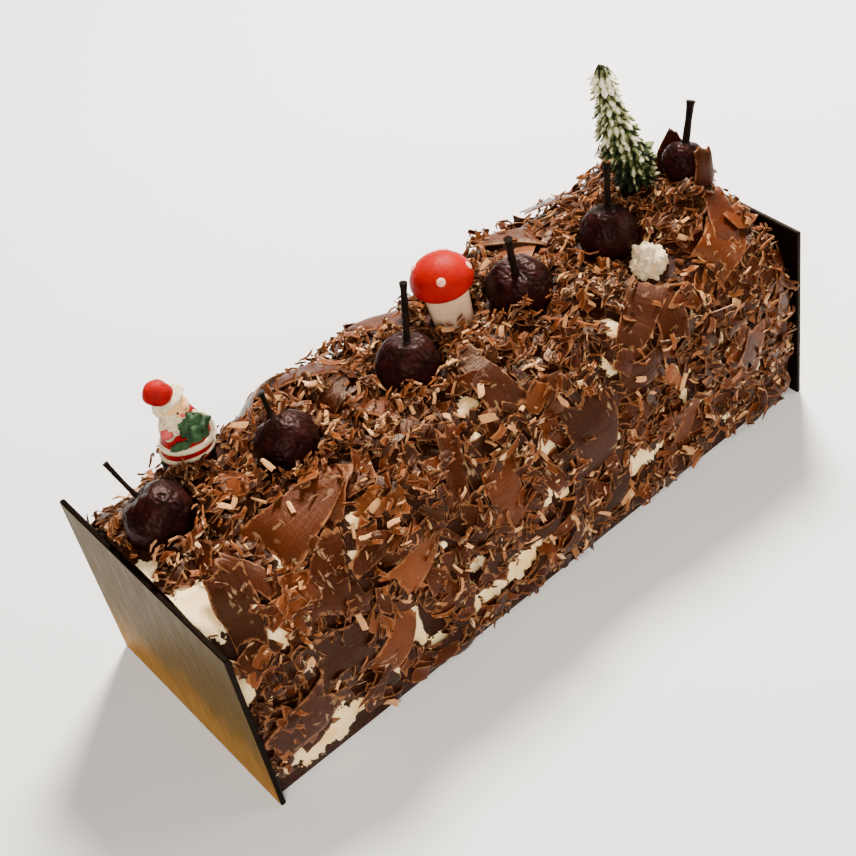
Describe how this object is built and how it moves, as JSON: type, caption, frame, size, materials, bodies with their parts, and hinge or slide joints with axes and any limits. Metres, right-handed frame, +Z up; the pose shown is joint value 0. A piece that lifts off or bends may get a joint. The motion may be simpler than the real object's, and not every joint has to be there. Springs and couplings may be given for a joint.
{
  "type": "black forest log cake",
  "caption": "Log-shaped black forest cake under loose chocolate flakes, closed by an upright plate at each end, topped with dark cherries, a red mushroom, a frosted fir and a winter figure.",
  "frame": {"origin": "centre of the cake's footprint on the surface it stands on", "axes": "+X along the log towards the fir tree's end, -Y the front, +Z up"},
  "size_m": [0.26, 0.1031, 0.1418],
  "materials": {
    "flakes": "shaved milk chocolate flakes over whipped cream, satin with fine shaving lines",
    "plate": "thin chocolate plate, satin bronze bloom outside that turns to gold lustre at the foot, dark gloss inside",
    "cherry": "dark preserved cherry, wet and wrinkled",
    "stem": "dark dry cherry stem",
    "cream": "whipped cream",
    "mushroom_cream": "smooth pale sugar stem",
    "mushroom_red": "bright red sugar cap with pale dots",
    "fir": "dark green moulded branches under a pale frost",
    "figure": "moulded figure, hand-painted red, cream and green"
  },
  "bodies": {
    "root": {"cake_log": "flakes", "end_plate_near": "plate", "end_plate_far": "plate", "cherry_1": "cherry", "cherry_2": "cherry", "cherry_3": "cherry", "cherry_4": "cherry", "cherry_5": "cherry", "cherry_6": "cherry", "cherry_stem_1": "stem", "cherry_stem_2": "stem", "cherry_stem_3": "stem", "cherry_stem_4": "stem", "cherry_stem_5": "stem", "cherry_stem_6": "stem", "cream_dab": "cream", "mushroom_stem": "mushroom_cream", "mushroom_cap": "mushroom_red", "fir_tree": "fir", "bearded_figure": "figure"}
  },
  "joints": []
}
